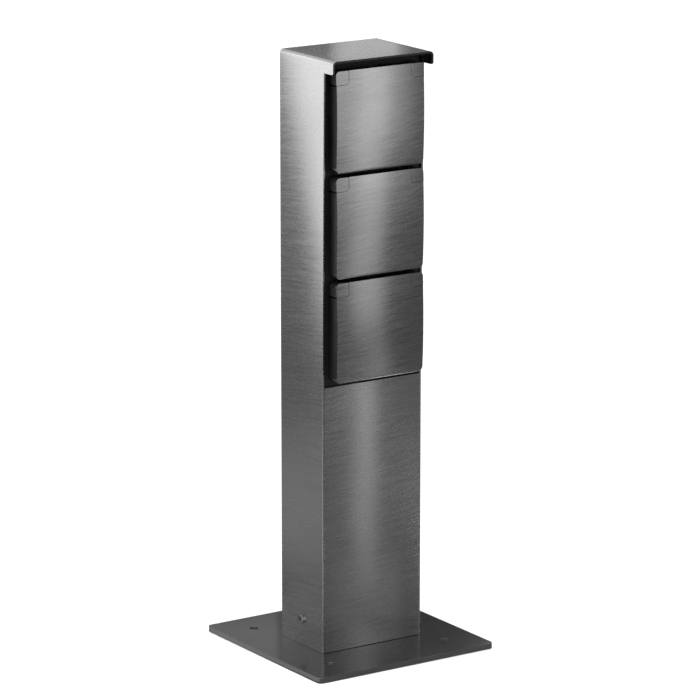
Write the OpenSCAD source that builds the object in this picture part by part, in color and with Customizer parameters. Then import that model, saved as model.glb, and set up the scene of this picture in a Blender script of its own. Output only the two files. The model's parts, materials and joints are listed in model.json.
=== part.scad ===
// Garden socket post: a folded steel pillar on a base plate, with three sockets under spring lids.
// Millimetres, +Z up, front towards -Y, origin at the middle of the base plate's underside.

/* [Base plate] */
// Side of the square base plate
plate_side = 150; // [140:1:200]
// Thickness of the base plate
plate_t = 4; // [3:0.5:6]
// Corner radius of the base plate
plate_r = 4; // [1:0.5:10]
// Spacing of the four anchor holes
anchor_pitch = 100; // [98:1:110]
// Diameter of each anchor hole
anchor_d = 6.5; // [5:0.5:9]
// Diameter of the cable bore in the grommet
cable_d = 13; // [8:0.5:16]

/* [Post] */
// Outside width of the post
post_w = 84; // [83:1:92]
// Depth of the post from its front plane to its back plane
post_d = 54; // [52:1:62]
// Distance of the post's middle ahead of the plate's middle
post_lead = 2; // [0:0.5:5]
// Height of the roof above the ground
post_h = 433; // [410:1:600]
// Thickness of the folded sheet
sheet_t = 1.5; // [1.2:0.1:2]
// Outside radius of the bend between the roof and the sides
roof_bend = 3; // [2.4:0.2:6]
// Reach of the canopy ahead of the front plane
canopy = 14; // [10:1:20]
// Height of the canopy's side ears
ear_h = 9.5; // [6:0.5:14]
// Radius on the lower front corner of each ear
ear_r = 2; // [0.5:0.5:5]
// Forward lean of the sides' front edges, from the sill up to the ears
side_lean = 2.4; // [0:0.1:3]
// Height of the side screws above the ground
side_screw_z = 23.5; // [18:0.5:28]

/* [Lids] */
// Height of one lid
lid_h = 72.3; // [70:0.1:78]
// Gap between neighbouring lids
lid_gap = 2.6; // [2.6:0.1:5]
// Gap between the roof sheet and the top lid
roof_gap = 6.4; // [4:0.1:8]
// Gap between the bottom lid and the sill
sill_gap = 4; // [3:0.1:10]
// Gap between a lid and the side sheet
lid_side_gap = 4; // [2:0.1:4.5]
// Distance of the lid's edge ahead of the front plane
lid_proud = 9.5; // [7.6:0.1:10]
// Rise of the crowned facing at the middle of the lid
lid_crown = 1.2; // [0.6:0.1:2]
// Corner radius of the lid
lid_r = 4; // [3:0.5:8]
// Thickness of the steel facing
facing_t = 0.8; // [0.6:0.1:1]
// Depth of the folded lip along the bottom of the facing
lip_d = 6; // [3:0.5:7]
// Wall of the lid body
lid_wall = 2.2; // [1.8:0.1:2.6]

/* [Hinges] */
// Width of one hinge lug
lug_w = 10.4; // [10:0.2:14]
// Height of one hinge lug
lug_h = 9.6; // [9:0.1:11]
// Radius on the lower inner corner of a lug
lug_r = 2.3; // [1:0.1:3]
// Radius on the upper outer corner of a lug
lug_round = 3; // [1:0.1:4.4]
// Step of the lug's cap behind the lid's edge plane
lug_step = 0.7; // [0.4:0.1:1]
// Thickness of a lug's steel cap
cap_t = 0.8; // [0.5:0.1:1]
// Distance of the hinge axis below the lid's top
hinge_drop = 2.6; // [2.6:0.1:3]
// Distance of the hinge axis behind the lid's edge plane
hinge_back = 4; // [3.8:0.1:4]
// Diameter of the hinge pin
pin_d = 2; // [1.6:0.1:2]
// Length of the closing spring
spring_w = 10; // [6:0.5:14]

/* [Sockets] */
// Outside diameter of the socket insert
insert_d = 46; // [45:0.5:47]
// Diameter of the plug well
well_d = 39; // [38.5:0.5:40]
// Depth of the plug well
well_depth = 17.5; // [15:0.5:18]
// Spacing of the two plug pins
pin_pitch = 19; // [18:0.5:20]
// Diameter of a plug pin's hole
pin_hole_d = 5.6; // [5:0.1:6]
// Distance of the insert's rim ahead of the housing
rim_proud = 4; // [3.5:0.1:4.2]
// Thickness of the housing plate
housing_t = 4; // [3.5:0.1:5]
// Distance of the housing behind the front plane
housing_recess = 1; // [1:0.1:2]
// Diameter of a wire
wire_d = 2.5; // [2:0.1:2.8]

/* [Terminals] */
// Height of the terminal block's underside above the ground
block_z = 70; // [68:1:85]
// Height of the terminal block
block_h = 26; // [24:1:30]
// Depth of the terminal block
block_d = 16; // [15:0.5:18]

/* [Hidden] */
$fn = 64;

gangs = [0, 1, 2];
fixed_nodes = [
    "base_plate", "base_screws", "foot_bracket", "cable_grommet",
    "outer_shell", "side_screws", "front_panel",
    "rear_panel", "rear_panel_screws", "rear_rail_left", "rear_rail_right",
    "front_rail_left", "front_rail_right",
    "socket_housing", "housing_gasket", "housing_screws", "insert_screws",
    "terminal_carrier", "terminal_block", "terminal_inserts", "terminal_screws", "block_screws",
    "earth_stud", "earth_nuts", "bond_lug", "bond_wire",
    "live_wire", "neutral_wire", "earth_wire", "contact_screws"
];
gang_nodes = [
    "lid_body", "lid_facing", "lid_seal", "lug_caps", "hinge_pin", "lid_spring",
    "socket_insert", "earth_strap", "contacts"
];
function gang_name(part, n) = str(part, "_", n + 1);

// Clearances
slip = 0.15;
thread_gap = 0.05;
hole_gap = 0.25;
pin_press = 0.02;
pin_run = 0.05;
bond_gap = 0.05;
lug_gap = 0.4;
swing_gap = 0.25;
lid_back_gap = 0.6;
seal_gap = 0.3;
edge_gap = 0.3;
cut = 1;

// Post
front = -post_lead - post_d / 2;
back = -post_lead + post_d / 2;
middle_y = -post_lead;
inner_w = post_w - 2 * sheet_t;
roof_under = post_h - sheet_t;
bend_in = roof_bend - sheet_t;
lid_pitch = lid_h + lid_gap;
function lid_top(n) = roof_under - roof_gap - n * lid_pitch;
function lid_mid(n) = lid_top(n) - lid_h / 2;
last = len(gangs) - 1;
sill = lid_top(last) - lid_h - sill_gap;

// Front panel
fold_d = 10;
panel_w = inner_w - 2 * slip;
panel_foot = plate_t + 2 * slip;

// Foot bracket
bracket_t = 3;
bracket_gap = 0.1;
bracket_w = inner_w - 2 * bracket_gap;
upright_d = 22;
upright_over = 20.5;
upright_top = side_screw_z + upright_over;
web_gap = 0.5;
web_front = front + sheet_t + fold_d + web_gap;
web_back = back - sheet_t - 3 * web_gap;
web_mid = (web_front + web_back) / 2;
base_screw_d = 5;
base_head_d = 9.2;
base_screw_x = 26;
base_screw_inset = 7;
base_screw_y = [web_front + base_screw_inset, web_back - base_screw_inset];
base_screw_over = 3;
base_head_sink = 0.2;
base_hex_d = 3;
base_hex_depth = 1.4;

// Cable grommet
grommet_wall = 4.5;
grommet_lip = 2;
grommet_d = cable_d + 2 * grommet_wall;
grommet_rim_d = grommet_d + 2 * grommet_lip;
grommet_rim_t = 2;
grommet_lift = 0.3;
grommet_room = 1;

// Screws: diameter of the shank, diameter and height of the head
side_screw_d = 4;
side_head_d = 7;
side_head_h = 2;
side_screw_over = 1;
panel_screw_d = 4;
panel_head_d = 7;
panel_head_h = 2;
small_screw_d = 3;
small_head_d = 5.5;
small_head_h = 1.8;
housing_screw_d = 3.5;
housing_head_d = 6;
housing_head_h = 2;
hex_share = 0.45;

// Rear panel
rear_rail_gap = 12;
rear_rail_foot = upright_top + rear_rail_gap;
rear_rail_top = roof_under - bend_in - web_gap;
rail_w = 13.5;
rear_screw_x = inner_w / 2 - sheet_t - (rail_w - sheet_t) / 2;
rear_screw_end = 16;
rear_screw_z = [
    rear_rail_foot + rear_screw_end,
    (rear_rail_foot + rear_rail_top) / 2,
    rear_rail_top - rear_screw_end
];
rear_screw_len = 7;

// Socket housing
housing_front = front + housing_recess;
housing_back = housing_front + housing_t;
housing_w = inner_w - 2 * edge_gap;
housing_foot = sill + edge_gap;
housing_top = roof_under - edge_gap;
gasket_t = 1;
gasket_w = 5;
rail_front = housing_back + gasket_t;
rail_d = 12;
seat_w = 8;
seat_pad = 4.8;

// Socket insert, from its rim to its back
rim = housing_front - rim_proud;
well_floor = rim + well_depth;
floor_t = 4;
floor_back = well_floor + floor_t;
core_d = 14.5;
core_w = 34;
core_h = 26;
core_back = floor_back + core_d;
flange_lip = 3;
flange_d = insert_d + 2 * flange_lip;
flange_t = 3;
flange_back = housing_back + flange_t;
insert_ear_out = 6;
insert_ear_z = insert_d / 2 + insert_ear_out;
insert_ear_w = 10;
insert_ear_h = 9;
skin_t = 1;
insert_screw_bite = housing_t - skin_t;
guide_w = 5;
guide_d = 2.2;

// Contacts, earth strap and wires
sleeve_wall = 0.8;
sleeve_grip = 0.4;
sleeve_d = pin_hole_d + 2 * sleeve_wall;
clamp_size = 7;
wire_y = core_back + clamp_size / 2;
strap_t = 1;
strap_w = 8;
strap_in = 1.5;
strap_reach = well_d / 2 - strap_in;
strap_lead = 2.5;
earth_clamp_d = 2 * (wire_y - core_back - strap_t);
wire_over = 1.5;
wire_top = lid_mid(0) + clamp_size / 2 + wire_over;
wire_foot = block_z + block_h / 2;

// Terminal block and its carrier
pole_x = [-pin_pitch / 2, 0, pin_pitch / 2];
pole_d = 6.4;
block_w = 43;
block_front = wire_y - block_d / 2;
block_back = wire_y + block_d / 2;
block_screw_inset = 4;
block_screw_over = 1;
block_screw_x = block_w / 2 - block_screw_inset;
carrier_w = bracket_w - 2 * bracket_t;
carrier_gap = 6.5;
carrier_over = 4;
carrier_foot = side_screw_z + carrier_gap;
carrier_top = block_z + block_h + carrier_over;
terminal_screw_in = 7;
terminal_screw_z = [block_z + terminal_screw_in, block_z + block_h - terminal_screw_in];
terminal_inset = 2;
terminal_well_d = 4.4;
terminal_head_d = 4;

// Earth stud
stud_rise = 18;
stud_z = carrier_foot + stud_rise;
stud_d = 6;
nut_w = 10;
nut_top = stud_z + nut_w / 2;
first_nut_h = 6;
lug_plate_t = 1.5;
second_nut_h = 5;
ring_d = 12;
barrel_d = 4.4;
barrel_h = 9;
barrel_floor = 1;
stud_over = 2;
bond_bite = 5;
bond_over = 3;

// Lid
lid_w = inner_w - 2 * lid_side_gap;
lid_face = front - lid_proud;
lid_rear = housing_front - lid_back_gap;
crown_r = (pow(lid_h / 2, 2) + pow(lid_crown, 2)) / (2 * lid_crown);
body_inset = 0.3;
wall_back = lid_face + facing_t + bond_gap + lid_wall;
axis_y = lid_face + hinge_back;
function axis_z(n) = lid_top(n) - hinge_drop;
heel_r = lid_rear - axis_y;
knuckle_r = 2.2;
seal_inset = 0.4;
seal_outer = insert_d / 2 - seal_inset;
seal_inner = well_d / 2 + seal_inset;

// Hinge
cap_front = lid_face + lug_step;
lug_front = cap_front + cap_t;
lug_over = 0.3;
lug_out = lid_w / 2 + lug_over;
lug_in = lug_out - lug_w;
notch_x = lug_in - lug_gap;
lug_swing = norm([axis_y - cap_front, lug_h - hinge_drop]);
notch_h = hinge_drop + lug_swing + swing_gap;
facing_notch_h = lug_h + lug_gap;
notch_r = lug_r + lug_gap;
pin_sink = 1.3;
pin_end = lug_out - pin_sink;
spring_wire = 0.6;
spring_inner = pin_d / 2 + slip;
spring_outer = spring_inner + spring_wire;
spring_slot = spring_outer + edge_gap;

housing_screw_x = lid_w / 2 - body_inset - lid_wall - housing_head_d / 2 - lug_gap;
housing_screw_rise = 8;
housing_screw_drop = lid_h / 2 - housing_screw_rise;
housing_screw_over = 2;

steel = "silver";
dark = "#26272a";
rubber = "#161616";
zinc = "#b9bcc0";
brass = "#c9a64a";
pale = "#e8e4d8";

// Shapes shared by many pieces

// Block between two opposite corners
module slab(a, b) {
    translate(a) cube(b - a);
}

module rod_x(x0, x1, r) {
    translate([x0, 0, 0]) rotate([0, 90, 0]) cylinder(h = x1 - x0, r = r);
}

module rod_y(y0, y1, r) {
    translate([0, y1, 0]) rotate([90, 0, 0]) cylinder(h = y1 - y0, r = r);
}

module rod_z(z0, z1, r) {
    translate([0, 0, z0]) cylinder(h = z1 - z0, r = r);
}

// Profile drawn across Y and Z, run along X
module along_x(x0, x1) {
    translate([x0, 0, 0]) rotate([90, 0, 90]) linear_extrude(x1 - x0) children();
}

// Profile drawn across X and Z, run along Y
module along_y(y0, y1) {
    translate([0, y1, 0]) rotate([90, 0, 0]) linear_extrude(y1 - y0) children();
}

module both_sides() {
    children();
    mirror([1, 0, 0]) children();
}

module round_rect(w, h, r) {
    square([w - 2 * r, h], center = true);
    square([w, h - 2 * r], center = true);
    for (x = [-1, 1], y = [-1, 1])
        translate([x * (w / 2 - r), y * (h / 2 - r)]) circle(r);
}

// Screw with its head on the plane z = 0 and its shank running down
module screw(d, len, head_d, head_h) {
    rod_z(-len, 0, d / 2);
    difference() {
        rod_z(0, head_h, head_d / 2);
        translate([0, 0, head_h / 2]) cylinder(h = head_h, d = hex_share * head_d, $fn = 6);
    }
}

// Screw that enters along +Y from a face at y
module screw_from_front(y, d, len, head_d, head_h) {
    translate([0, y, 0]) rotate([90, 0, 0]) screw(d, len, head_d, head_h);
}

// Screw that enters along -Y from a face at y
module screw_from_back(y, d, len, head_d, head_h) {
    translate([0, y, 0]) rotate([-90, 0, 0]) screw(d, len, head_d, head_h);
}

// Foot of the post

module at_anchor_holes() {
    for (x = [-1, 1], y = [-1, 1])
        translate([x * anchor_pitch / 2, y * anchor_pitch / 2, 0]) children();
}

module at_base_screws() {
    for (x = [-1, 1], y = base_screw_y)
        translate([x * base_screw_x, y, 0]) children();
}

module base_screw_shape(grow) {
    head_h = (base_head_d - base_screw_d) / 2;
    rod_z(0, plate_t + bracket_t + base_screw_over, base_screw_d / 2 + grow);
    cylinder(h = head_h + grow, r1 = base_head_d / 2 + grow, r2 = base_screw_d / 2);
}

module base_plate() {
    color(steel) difference() {
        linear_extrude(plate_t) round_rect(plate_side, plate_side, plate_r);
        at_anchor_holes() rod_z(-cut, plate_t + cut, anchor_d / 2);
        translate([0, web_mid, 0]) rod_z(-cut, plate_t + cut, grommet_d / 2 + slip);
        at_base_screws() {
            translate([0, 0, base_head_sink]) base_screw_shape(hole_gap);
            rod_z(-cut, base_head_sink, base_head_d / 2 + hole_gap);
        }
    }
}

module base_screws() {
    color(zinc) at_base_screws() translate([0, 0, base_head_sink]) difference() {
        base_screw_shape(0);
        translate([0, 0, -cut]) cylinder(h = cut + base_hex_depth, d = base_hex_d, $fn = 6);
    }
}

module foot_bracket() {
    top = plate_t + bracket_t;
    color(zinc) difference() {
        union() {
            slab([-bracket_w / 2, web_front, plate_t], [bracket_w / 2, web_back, top]);
            both_sides() slab(
                [bracket_w / 2 - bracket_t, middle_y - upright_d / 2, plate_t],
                [bracket_w / 2, middle_y + upright_d / 2, upright_top]);
        }
        translate([0, web_mid, 0]) rod_z(-cut, top + cut, grommet_rim_d / 2 + grommet_room);
        at_base_screws() rod_z(0, top + cut, base_screw_d / 2 + thread_gap);
        translate([0, middle_y, side_screw_z]) rod_x(-post_w, post_w, side_screw_d / 2 + thread_gap);
    }
}

module cable_grommet() {
    color(rubber) translate([0, web_mid, 0]) difference() {
        union() {
            rod_z(grommet_lift, plate_t, grommet_d / 2);
            rod_z(plate_t, plate_t + grommet_rim_t, grommet_rim_d / 2);
        }
        rod_z(0, plate_t + grommet_rim_t + cut, cable_d / 2);
    }
}

module side_screws() {
    len = sheet_t + bracket_gap + bracket_t + side_screw_over;
    color(zinc) both_sides()
        translate([post_w / 2, middle_y, side_screw_z]) rotate([0, 90, 0])
            screw(side_screw_d, len, side_head_d, side_head_h);
}

// Folded sheet

// Front view of the shell, as an arch with bent top corners
module arch(w, top, r, foot) {
    translate([-w / 2, foot]) square([w, top - r - foot]);
    translate([-w / 2 + r, foot]) square([w - 2 * r, top - foot]);
    for (x = [-1, 1])
        translate([x * (w / 2 - r), top - r]) circle(r);
}

module outer_shell() {
    canopy_front = front - canopy;
    ear_foot = post_h - ear_h;
    color(steel) difference() {
        along_y(canopy_front, back) arch(post_w, post_h, roof_bend, plate_t);
        along_y(canopy_front - cut, back + cut) arch(inner_w, roof_under, bend_in, plate_t - cut);
        along_x(-post_w, post_w) polygon([
            [canopy_front - cut, 0], [front, 0], [front, sill],
            [front - side_lean, ear_foot], [canopy_front - cut, ear_foot]]);
        along_x(-post_w, post_w) difference() {
            translate([canopy_front - cut, ear_foot - cut]) square(ear_r + cut);
            translate([canopy_front + ear_r, ear_foot + ear_r]) circle(ear_r);
        }
        translate([0, middle_y, side_screw_z]) rod_x(-post_w, post_w, side_screw_d / 2 + hole_gap);
    }
}

module front_panel() {
    color(steel) {
        slab([-panel_w / 2, front, panel_foot], [panel_w / 2, front + sheet_t, sill]);
        slab([-panel_w / 2, front + sheet_t, sill - sheet_t], [panel_w / 2, front + sheet_t + fold_d, sill]);
        both_sides() slab(
            [panel_w / 2 - sheet_t, front + sheet_t, panel_foot],
            [panel_w / 2, front + sheet_t + fold_d, sill - sheet_t]);
    }
}

module at_rear_screws() {
    for (x = [-1, 1], z = rear_screw_z)
        translate([x * rear_screw_x, 0, z]) children();
}

module rear_panel() {
    color(steel) difference() {
        along_y(back - sheet_t, back) arch(panel_w, roof_under - 2 * slip, bend_in, panel_foot);
        at_rear_screws() rod_y(back - sheet_t - cut, back + cut, panel_screw_d / 2 + hole_gap);
    }
}

module rear_panel_screws() {
    color(zinc) at_rear_screws()
        screw_from_back(back, panel_screw_d, rear_screw_len, panel_head_d, panel_head_h);
}

// Angle behind the rear panel, right hand
module rear_rail() {
    outer = inner_w / 2;
    face = back - sheet_t;
    color(zinc) difference() {
        union() {
            slab([outer - rail_w, face - sheet_t, rear_rail_foot], [outer, face, rear_rail_top]);
            slab([outer - sheet_t, face - rail_d, rear_rail_foot], [outer, face, rear_rail_top]);
        }
        at_rear_screws() rod_y(face - 2 * sheet_t, face + cut, panel_screw_d / 2 + thread_gap);
    }
}

module rear_rail_right() {
    rear_rail();
}

module rear_rail_left() {
    mirror([1, 0, 0]) rear_rail();
}

module at_housing_screws() {
    for (n = gangs, x = [-1, 1])
        translate([x * housing_screw_x, 0, lid_mid(n) - housing_screw_drop]) children();
}

// Front view of the right hand seat of the housing, with a pad at each screw
module seat(outer, top) {
    translate([outer - seat_w, housing_foot]) square([seat_w, top - housing_foot]);
    for (n = gangs)
        translate([housing_screw_x - seat_pad, lid_mid(n) - housing_screw_drop - seat_pad])
            square([outer - housing_screw_x + seat_pad, 2 * seat_pad]);
}

// Angle behind the housing, right hand
module front_rail() {
    outer = inner_w / 2;
    top = housing_top - bend_in;
    color(zinc) difference() {
        union() {
            along_y(rail_front, rail_front + sheet_t) seat(outer, top);
            slab([outer - sheet_t, rail_front, housing_foot], [outer, rail_front + rail_d, top]);
        }
        at_housing_screws()
            rod_y(rail_front - cut, rail_front + 2 * sheet_t, housing_screw_d / 2 + thread_gap);
    }
}

module front_rail_right() {
    front_rail();
}

module front_rail_left() {
    mirror([1, 0, 0]) front_rail();
}

// Socket housing

// Block with a round lower inner corner, measured from the lid's top middle
module lug_outline(inner, drop, r, outer) {
    translate([inner, r - drop]) square([outer - inner, drop - r]);
    translate([inner + r, -drop]) square([outer - inner - r, drop]);
    translate([inner + r, r - drop]) circle(r);
}

// Front view of the right hand lug
module lug_face() {
    difference() {
        lug_outline(lug_in, lug_h, lug_r, lug_out);
        translate([lug_out - lug_round, -lug_round]) difference() {
            square(lug_round + cut);
            circle(lug_round);
        }
    }
}

module at_insert_screws() {
    for (n = gangs, z = [-1, 1])
        translate([0, 0, lid_mid(n) + z * insert_ear_z]) children();
}

module socket_housing() {
    screw_hole_end = housing_back - insert_screw_bite - slip;
    color(dark) difference() {
        union() {
            along_y(housing_front, housing_back) arch(housing_w, housing_top, bend_in, housing_foot);
            for (n = gangs)
                translate([0, 0, lid_top(n)]) both_sides()
                    along_y(lug_front, housing_front) lug_face();
        }
        for (n = gangs) {
            translate([0, 0, lid_mid(n)])
                rod_y(housing_front - cut, housing_back + cut, insert_d / 2 + slip);
            translate([0, axis_y, axis_z(n)]) rod_x(-post_w, post_w, pin_d / 2 + pin_press);
        }
        at_housing_screws() rod_y(housing_front - cut, housing_back + cut, housing_screw_d / 2 + hole_gap);
        at_insert_screws()
            rod_y(screw_hole_end, housing_back + cut, small_screw_d / 2 + thread_gap);
    }
}

module housing_gasket() {
    color(rubber) difference() {
        along_y(housing_back, rail_front) intersection() {
            arch(housing_w, housing_top, bend_in, housing_foot);
            union() {
                for (x = [0, 1])
                    mirror([x, 0]) seat(housing_w / 2, housing_top);
                translate([-housing_w / 2, housing_foot]) square([housing_w, gasket_w]);
                translate([-housing_w / 2, housing_top - gasket_w]) square([housing_w, gasket_w]);
            }
        }
        at_housing_screws() rod_y(housing_back - cut, rail_front + cut, housing_screw_d / 2 + hole_gap);
    }
}

module housing_screws() {
    len = rail_front + sheet_t + housing_screw_over - housing_front;
    color(zinc) at_housing_screws()
        screw_from_front(housing_front, housing_screw_d, len, housing_head_d, housing_head_h);
}

module lug_caps(n) {
    color(steel) translate([0, 0, lid_top(n)]) both_sides()
        along_y(cap_front, lug_front) lug_face();
}

module hinge_pin(n) {
    color(zinc) translate([0, axis_y, axis_z(n)]) rod_x(-pin_end, pin_end, pin_d / 2);
}

module lid_spring(n) {
    leg_x = spring_w / 2 - spring_wire;
    leg_z = -(spring_inner + spring_outer) / 2;
    color(zinc) translate([0, axis_y, axis_z(n)]) {
        difference() {
            rod_x(-spring_w / 2, spring_w / 2, spring_outer);
            rod_x(-spring_w, spring_w, spring_inner);
        }
        translate([leg_x, 0, leg_z]) rod_y(0, housing_front - axis_y, spring_wire / 2);
    }
}

// Sockets

module socket_insert(n) {
    slot_z = strap_reach - strap_t / 2;
    color(dark) translate([0, 0, lid_mid(n)]) difference() {
        union() {
            difference() {
                union() {
                    rod_y(rim, floor_back, insert_d / 2);
                    rod_y(housing_back, flange_back, flange_d / 2);
                    for (z = [-1, 1])
                        translate([0, 0, z * insert_ear_z]) slab(
                            [-insert_ear_w / 2, housing_back, -insert_ear_h / 2],
                            [insert_ear_w / 2, flange_back, insert_ear_h / 2]);
                }
                rod_y(rim - cut, well_floor, well_d / 2);
            }
            slab([-core_w / 2, floor_back, -core_h / 2], [core_w / 2, core_back, core_h / 2]);
            both_sides() intersection() {
                rod_y(rim + strap_lead, floor_back, insert_d / 2 - skin_t);
                slab(
                    [well_d / 2 - guide_d, rim + strap_lead, -guide_w / 2],
                    [insert_d / 2, floor_back, guide_w / 2]);
            }
        }
        both_sides() translate([pin_pitch / 2, 0, 0]) {
            rod_y(well_floor - cut, floor_back + cut, pin_hole_d / 2);
            rod_y(floor_back, core_back + cut, sleeve_d / 2 + slip);
        }
        for (z = [-1, 1])
            translate([0, 0, z * slot_z]) slab(
                [-strap_w / 2 - slip, well_floor - cut, -strap_t / 2 - slip],
                [strap_w / 2 + slip, floor_back + cut, strap_t / 2 + slip]);
        for (z = [-1, 1])
            translate([0, 0, z * insert_ear_z])
                rod_y(housing_back - cut, flange_back + cut, small_screw_d / 2 + hole_gap);
    }
}

module insert_screws() {
    len = flange_t + insert_screw_bite;
    color(zinc) at_insert_screws()
        screw_from_back(flange_back, small_screw_d, len, small_head_d, small_head_h);
}

module earth_strap(n) {
    color(zinc) translate([0, 0, lid_mid(n)]) difference() {
        union() {
            for (z = [-1, 1])
                translate([0, 0, z * (strap_reach - strap_t / 2)]) slab(
                    [-strap_w / 2, rim + strap_lead, -strap_t / 2],
                    [strap_w / 2, core_back + strap_t, strap_t / 2]);
            slab([-strap_w / 2, core_back, -strap_reach], [strap_w / 2, core_back + strap_t, strap_reach]);
            translate([0, wire_y, 0]) cube([clamp_size, earth_clamp_d, clamp_size], center = true);
        }
        translate([0, wire_y, 0]) {
            rod_z(-clamp_size, clamp_size, wire_d / 2 + slip);
            rod_y(0, clamp_size, small_screw_d / 2 + thread_gap);
        }
    }
}

module contacts(n) {
    color(brass) translate([0, 0, lid_mid(n)]) both_sides() translate([pin_pitch / 2, 0, 0]) difference() {
        union() {
            rod_y(floor_back + slip, core_back, sleeve_d / 2);
            translate([0, wire_y, 0]) cube(clamp_size, center = true);
        }
        rod_y(floor_back - cut, core_back - skin_t, pin_hole_d / 2 - sleeve_grip);
        translate([0, wire_y, 0]) {
            rod_z(-clamp_size, clamp_size, wire_d / 2 + slip);
            rod_y(0, clamp_size, small_screw_d / 2 + thread_gap);
        }
    }
}

module contact_screws() {
    tip = wire_y + wire_d / 2 + slip;
    for (n = gangs)
        color(zinc) translate([0, 0, lid_mid(n)]) {
            both_sides() translate([pin_pitch / 2, 0, 0])
                clamp_screw(tip, wire_y + clamp_size / 2);
            clamp_screw(tip, wire_y + earth_clamp_d / 2);
        }
}

module clamp_screw(tip, face) {
    screw_from_back(face, small_screw_d, face - tip, small_head_d, small_head_h);
}

module wire(x, foot, top) {
    translate([x, wire_y, 0]) rod_z(foot, top, wire_d / 2);
}

module live_wire() {
    color("#6b4226") wire(pole_x[2], wire_foot, wire_top);
}

module neutral_wire() {
    color("#2f5fa8") wire(pole_x[0], wire_foot, wire_top);
}

module earth_wire() {
    color("#7da32c") wire(pole_x[1], wire_foot, wire_top);
}

// Terminals at the foot

module at_block_screws() {
    for (x = [-1, 1])
        translate([x * block_screw_x, 0, block_z + block_h / 2]) children();
}

module at_terminal_screws() {
    for (x = pole_x, z = terminal_screw_z)
        translate([x, 0, z]) children();
}

module terminal_carrier() {
    color(zinc) difference() {
        union() {
            slab(
                [-carrier_w / 2, block_front - sheet_t, carrier_foot],
                [carrier_w / 2, block_front, carrier_top]);
            both_sides() slab(
                [carrier_w / 2 - sheet_t, block_front - sheet_t, carrier_foot],
                [carrier_w / 2, middle_y + upright_d / 2, upright_top]);
        }
        at_block_screws() rod_y(block_front - 2 * sheet_t, block_front + cut, small_screw_d / 2 + thread_gap);
        translate([0, 0, stud_z])
            rod_y(block_front - 2 * sheet_t, block_front + cut, stud_d / 2 + thread_gap);
    }
}

module terminal_block() {
    color(pale) difference() {
        slab([-block_w / 2, block_front, block_z], [block_w / 2, block_back, block_z + block_h]);
        for (x = pole_x)
            translate([x, wire_y, 0]) rod_z(block_z - cut, block_z + block_h + cut, pole_d / 2 + slip);
        at_terminal_screws() rod_y(wire_y, block_back + cut, terminal_well_d / 2);
        at_block_screws() rod_y(block_front - cut, block_back + cut, small_screw_d / 2 + hole_gap);
    }
}

module terminal_inserts() {
    color(brass) difference() {
        for (x = pole_x)
            translate([x, wire_y, 0])
                rod_z(block_z + terminal_inset, block_z + block_h - terminal_inset, pole_d / 2);
        for (x = pole_x)
            translate([x, wire_y, 0]) rod_z(block_z, block_z + block_h, wire_d / 2 + slip);
        at_terminal_screws() rod_y(wire_y, block_back, small_screw_d / 2 + thread_gap);
    }
}

module terminal_screws() {
    face = wire_y + pole_d / 2 + slip;
    tip = wire_y + wire_d / 2 + slip;
    color(zinc) at_terminal_screws()
        screw_from_back(face, small_screw_d, face - tip, terminal_head_d, small_head_h);
}

module block_screws() {
    len = block_d + sheet_t + block_screw_over;
    color(zinc) at_block_screws()
        screw_from_back(block_back, small_screw_d, len, small_head_d, small_head_h);
}

module earth_stud() {
    tip = block_front + first_nut_h + lug_plate_t + second_nut_h + stud_over;
    color(brass) translate([0, 0, stud_z]) rod_y(block_front - sheet_t, tip, stud_d / 2);
}

module nut(y, h) {
    difference() {
        translate([0, y + h, 0]) rotate([90, 0, 0]) cylinder(h = h, d = nut_w / cos(30), $fn = 6);
        rod_y(y - cut, y + h + cut, stud_d / 2 + thread_gap);
    }
}

module earth_nuts() {
    color(brass) translate([0, 0, stud_z]) {
        nut(block_front, first_nut_h);
        nut(block_front + first_nut_h + lug_plate_t, second_nut_h);
    }
}

module bond_lug() {
    plate_y = block_front + first_nut_h;
    barrel_foot = nut_top + edge_gap;
    color(zinc) difference() {
        union() {
            translate([0, 0, stud_z]) rod_y(plate_y, plate_y + lug_plate_t, ring_d / 2);
            translate([0, wire_y, 0]) rod_z(barrel_foot, barrel_foot + barrel_h, barrel_d / 2);
            slab(
                [-barrel_d / 2, plate_y, stud_z + stud_d / 2 + hole_gap],
                [barrel_d / 2, plate_y + lug_plate_t, barrel_foot + barrel_floor]);
        }
        translate([0, 0, stud_z]) rod_y(plate_y - cut, plate_y + lug_plate_t + cut, stud_d / 2 + hole_gap);
        translate([0, wire_y, 0])
            rod_z(barrel_foot + barrel_floor, barrel_foot + barrel_h + cut, wire_d / 2 + slip);
    }
}

module bond_wire() {
    barrel_top = nut_top + edge_gap + barrel_h;
    color("#7da32c") wire(0, barrel_top - bond_bite, terminal_screw_z[0] + bond_over);
}

// Lids

// Front view of a lid with notches of one height, measured from its top middle; inset shrinks it and
// grows its notches
module lid_outline(inset, drop) {
    w = lid_w - 2 * inset;
    h = lid_h - 2 * inset;
    difference() {
        translate([0, -lid_h / 2]) round_rect(w, h, lid_r - inset);
        for (x = [0, 1])
            mirror([x, 0]) translate([0, lid_r])
                lug_outline(notch_x - inset, drop + inset + lid_r, notch_r + inset, lid_w);
    }
}

// Side view of the crowned disc, measured from the lid's edge plane at its mid height
module crown_disc(shrink) {
    translate([crown_r - lid_crown, 0]) circle(crown_r - shrink, $fn = 720);
}

module facing_profile() {
    difference() {
        intersection() {
            crown_disc(0);
            translate([-2 * lid_crown, -lid_h / 2]) square([2 * lid_crown + lip_d, lid_h]);
        }
        intersection() {
            crown_disc(facing_t);
            translate([-2 * lid_crown, facing_t - lid_h / 2]) square([2 * lid_crown + lip_d + cut, lid_h]);
        }
    }
}

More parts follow.
